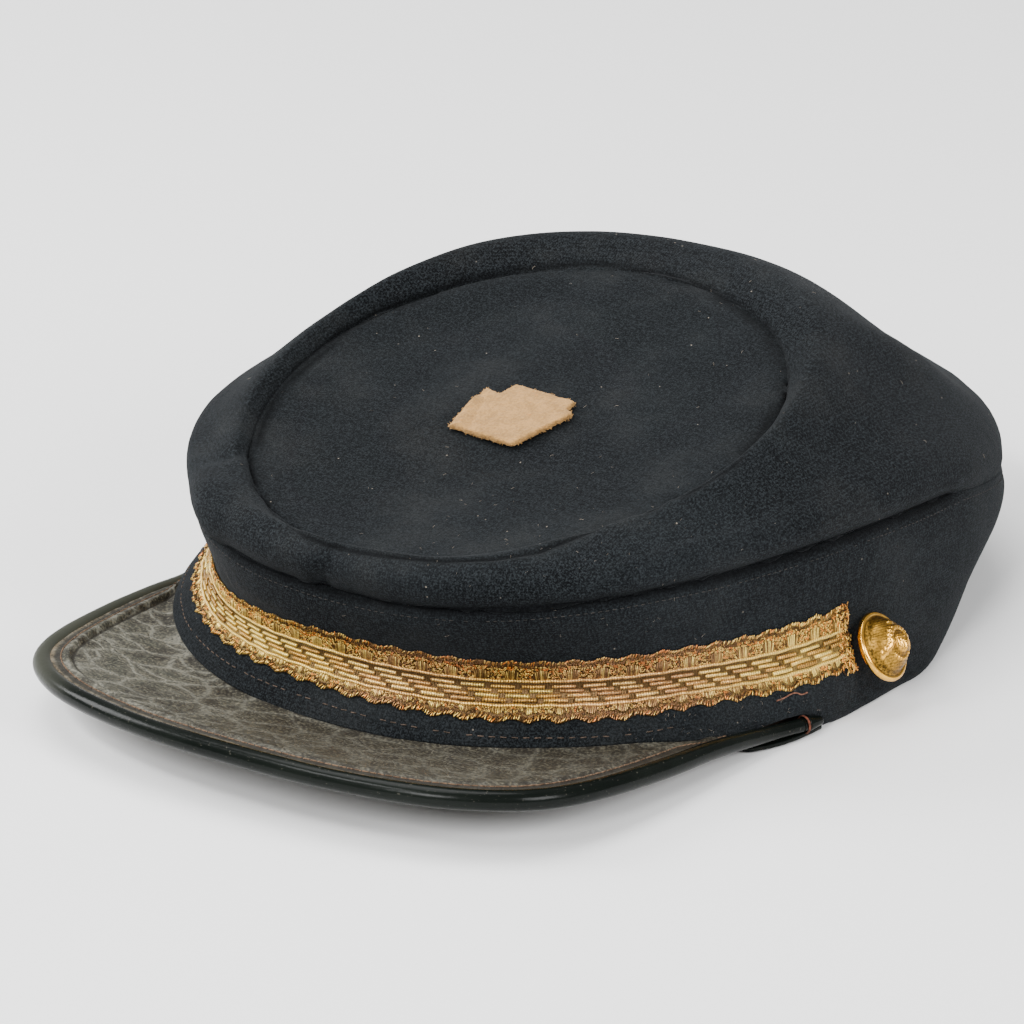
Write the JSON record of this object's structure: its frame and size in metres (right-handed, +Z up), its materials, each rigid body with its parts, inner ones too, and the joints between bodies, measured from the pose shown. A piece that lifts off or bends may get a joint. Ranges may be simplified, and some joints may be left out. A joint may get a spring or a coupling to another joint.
{
  "type": "kepi cap",
  "caption": "Soft wool kepi with a leather peak, a gold lace band round the front, brass side buttons and a felt patch on its flat sunk crown.",
  "frame": {"origin": "middle of the cap's plan on the surface that it rests on, under the middle of its bounding box", "axes": "+Z up, -Y out over the peak to the front, +X to the wearer's left"},
  "size_m": [0.1839, 0.2479, 0.0735],
  "materials": {
    "wool": "very dark navy wool broadcloth, dusty and napped",
    "sweat_leather": "dark brown leather, dull",
    "peak_leather": "worn olive-grey patent leather, crazed and dull",
    "binding_leather": "black patent leather, glossy",
    "gold_lace": "woven gilt wire lace, satin",
    "gilt_brass": "gilt stamped brass, polished",
    "felt": "beige felt, matte"
  },
  "bodies": {
    "root": {"band": "wool", "sweatband": "sweat_leather", "crown_side": "wool", "crown_disc": "wool", "peak": "peak_leather", "peak_binding": "binding_leather", "lace_strap": "gold_lace", "button_left": "gilt_brass", "button_right": "gilt_brass", "felt_patch": "felt"}
  },
  "joints": []
}
